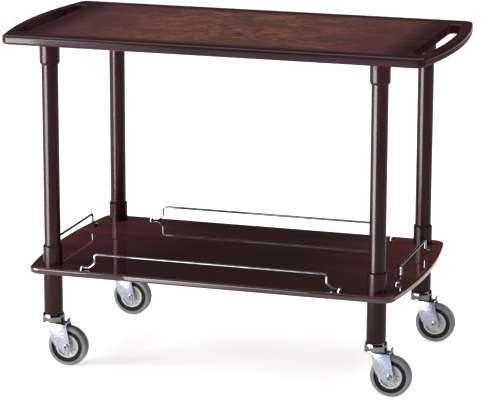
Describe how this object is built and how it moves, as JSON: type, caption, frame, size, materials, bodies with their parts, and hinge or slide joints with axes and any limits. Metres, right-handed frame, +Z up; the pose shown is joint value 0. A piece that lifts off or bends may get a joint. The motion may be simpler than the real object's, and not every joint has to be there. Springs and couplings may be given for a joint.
{
  "type": "food service trolley",
  "caption": "Two-tier wooden serving trolley: burl-veneered top with slotted ends as handles, turned legs, railed shelf and swivel casters.",
  "frame": {"origin": "on the floor, under the middle of the trolley", "axes": "+Z up, X along the trolley from handle to handle, Y across it with -Y the front; the casters trail towards +X at rest"},
  "size_m": [1.0938, 0.566, 0.823],
  "materials": {
    "dark_lacquered_wood": "dark mahogany stain under gloss lacquer",
    "burl_veneer": "burl veneer under gloss lacquer, darkening towards the ends",
    "shelf_lacquered_wood": "dark mahogany stain under mirror-gloss lacquer",
    "leg_lacquered_wood": "dark mahogany stain under gloss lacquer, turned",
    "chrome": "bright chrome",
    "zinc_plated_steel": "bright zinc plate",
    "dark_race_steel": "oiled dark steel",
    "pale_hub": "moulded pale grey, semi-gloss",
    "black_band": "moulded black, satin",
    "grey_rubber": "non-marking grey rubber, matt",
    "brass_insert": "machined brass, plain"
  },
  "bodies": {
    "trolley_frame": {"top_board": "dark_lacquered_wood", "top_veneer": "burl_veneer", "shelf_board": "shelf_lacquered_wood", "upper_leg_front_left": "leg_lacquered_wood", "upper_collar_front_left": "leg_lacquered_wood", "lower_collar_front_left": "leg_lacquered_wood", "lower_leg_front_left": "leg_lacquered_wood", "caster_cap_front_left": "chrome", "upper_leg_front_right": "leg_lacquered_wood", "upper_collar_front_right": "leg_lacquered_wood", "lower_collar_front_right": "leg_lacquered_wood", "lower_leg_front_right": "leg_lacquered_wood", "caster_cap_front_right": "chrome", "upper_leg_back_right": "leg_lacquered_wood", "upper_collar_back_right": "leg_lacquered_wood", "lower_collar_back_right": "leg_lacquered_wood", "lower_leg_back_right": "leg_lacquered_wood", "caster_cap_back_right": "chrome", "upper_leg_back_left": "leg_lacquered_wood", "upper_collar_back_left": "leg_lacquered_wood", "lower_collar_back_left": "leg_lacquered_wood", "lower_leg_back_left": "leg_lacquered_wood", "caster_cap_back_left": "chrome", "rail_front": "chrome", "rail_back": "chrome", "rail_left": "chrome", "rail_right": "chrome", "rail_screws": "zinc_plated_steel", "tie_rods": "zinc_plated_steel", "top_inserts": "brass_insert", "leg_inserts": "brass_insert", "caster_stems": "zinc_plated_steel"},
    "caster_front_left": {"caster_fork_front_left": "zinc_plated_steel", "swivel_race_front_left": "dark_race_steel", "caster_axle_front_left": "zinc_plated_steel"},
    "wheel_front_left": {"wheel_hub_front_left": "pale_hub", "wheel_band_front_left": "black_band", "tyre_front_left": "grey_rubber"},
    "caster_front_right": {"caster_fork_front_right": "zinc_plated_steel", "swivel_race_front_right": "dark_race_steel", "caster_axle_front_right": "zinc_plated_steel"},
    "wheel_front_right": {"wheel_hub_front_right": "pale_hub", "wheel_band_front_right": "black_band", "tyre_front_right": "grey_rubber"},
    "caster_back_right": {"caster_fork_back_right": "zinc_plated_steel", "swivel_race_back_right": "dark_race_steel", "caster_axle_back_right": "zinc_plated_steel"},
    "wheel_back_right": {"wheel_hub_back_right": "pale_hub", "wheel_band_back_right": "black_band", "tyre_back_right": "grey_rubber"},
    "caster_back_left": {"caster_fork_back_left": "zinc_plated_steel", "swivel_race_back_left": "dark_race_steel", "caster_axle_back_left": "zinc_plated_steel"},
    "wheel_back_left": {"wheel_hub_back_left": "pale_hub", "wheel_band_back_left": "black_band", "tyre_back_left": "grey_rubber"}
  },
  "joints": [
    {"name": "swivel_front_left", "type": "hinge", "parent": "trolley_frame", "child": "caster_front_left", "pos_m": [-0.409, -0.235, 0.1], "axis": [0, 0, 1], "continuous": true},
    {"name": "roll_front_left", "type": "hinge", "parent": "caster_front_left", "child": "wheel_front_left", "pos_m": [-0.371, -0.235, 0.05], "axis": [0, 1, 0], "continuous": true},
    {"name": "swivel_front_right", "type": "hinge", "parent": "trolley_frame", "child": "caster_front_right", "pos_m": [0.409, -0.235, 0.1], "axis": [0, 0, 1], "continuous": true},
    {"name": "roll_front_right", "type": "hinge", "parent": "caster_front_right", "child": "wheel_front_right", "pos_m": [0.447, -0.235, 0.05], "axis": [0, 1, 0], "continuous": true},
    {"name": "swivel_back_right", "type": "hinge", "parent": "trolley_frame", "child": "caster_back_right", "pos_m": [0.409, 0.235, 0.1], "axis": [0, 0, 1], "continuous": true},
    {"name": "roll_back_right", "type": "hinge", "parent": "caster_back_right", "child": "wheel_back_right", "pos_m": [0.447, 0.235, 0.05], "axis": [0, 1, 0], "continuous": true},
    {"name": "swivel_back_left", "type": "hinge", "parent": "trolley_frame", "child": "caster_back_left", "pos_m": [-0.409, 0.235, 0.1], "axis": [0, 0, 1], "continuous": true},
    {"name": "roll_back_left", "type": "hinge", "parent": "caster_back_left", "child": "wheel_back_left", "pos_m": [-0.371, 0.235, 0.05], "axis": [0, 1, 0], "continuous": true}
  ]
}
